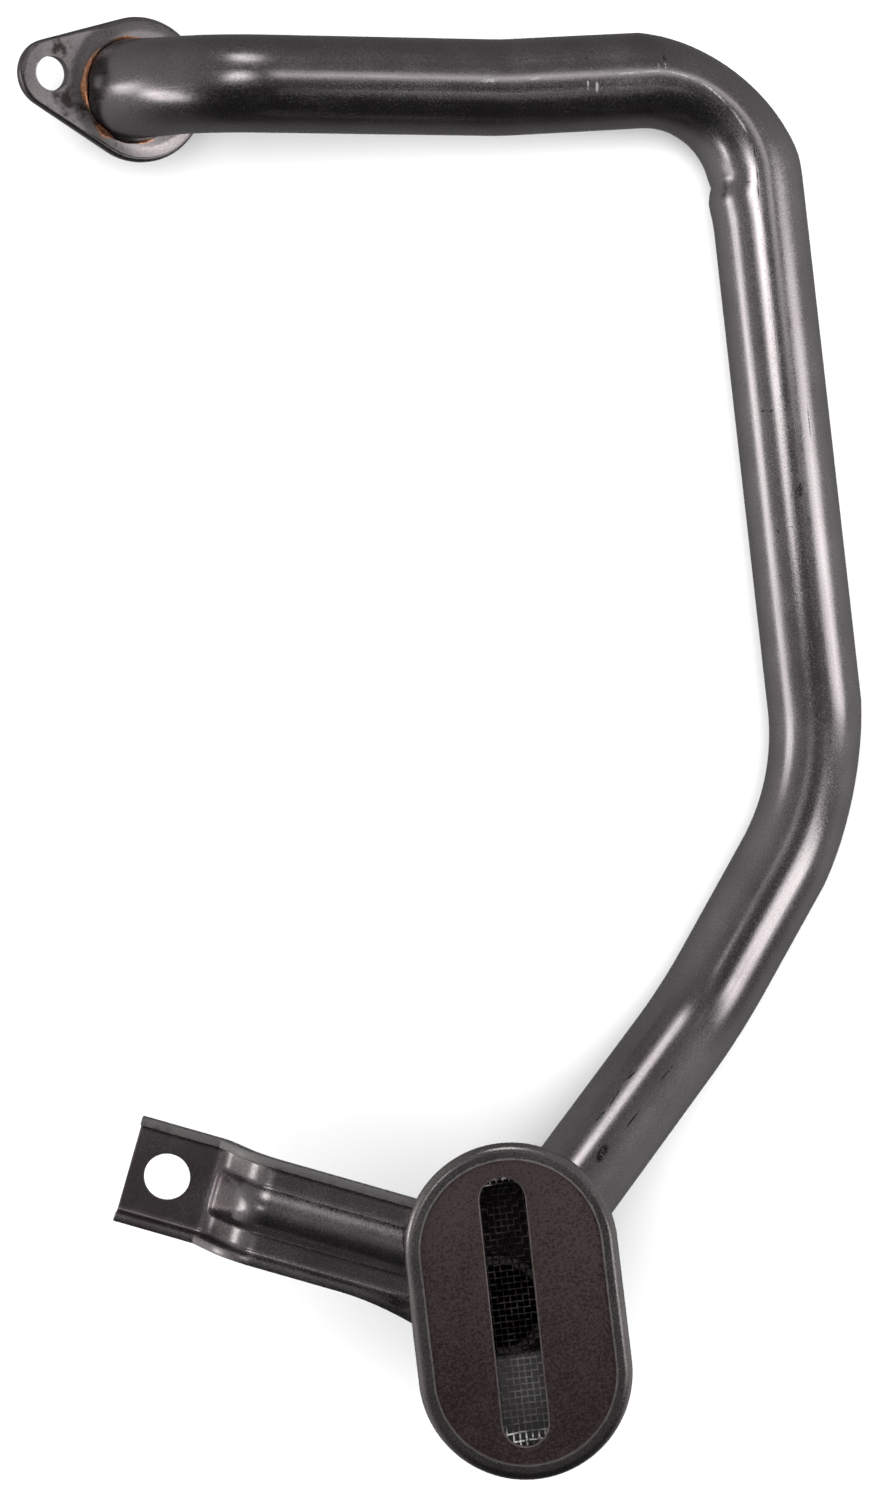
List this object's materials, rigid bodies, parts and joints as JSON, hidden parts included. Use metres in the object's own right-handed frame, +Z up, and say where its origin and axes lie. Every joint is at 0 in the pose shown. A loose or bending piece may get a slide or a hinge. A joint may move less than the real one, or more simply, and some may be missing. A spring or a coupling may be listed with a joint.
{
  "type": "oil pickup tube",
  "caption": "Bent steel suction tube with a bolted pump flange, an oval strainer head with a slotted inlet over a woven screen, and a stamped support bracket.",
  "frame": {"origin": "centre of the pump flange's mating face, on the spigot's axis", "axes": "+Z up as the part lies at rest on its back, +Y along its length towards the flange end, +X to the right seen from above"},
  "size_m": [0.1698, 0.2834, 0.0701],
  "materials": {
    "tube_steel": "satin drawn",
    "flange_steel": "satin stamped",
    "shell_steel": "satin pressed",
    "plate_steel": "matt dull",
    "screen_wire": "drawn wire",
    "bracket_steel": "satin stamped",
    "braze": "copper braze"
  },
  "bodies": {
    "root": {"suction_tube": "tube_steel", "pump_flange": "flange_steel", "flange_braze": "braze", "pickup_shell": "shell_steel", "inlet_plate": "plate_steel", "strainer_screen": "screen_wire", "neck_braze": "braze", "support_bracket": "bracket_steel", "bracket_braze": "braze"}
  },
  "joints": []
}
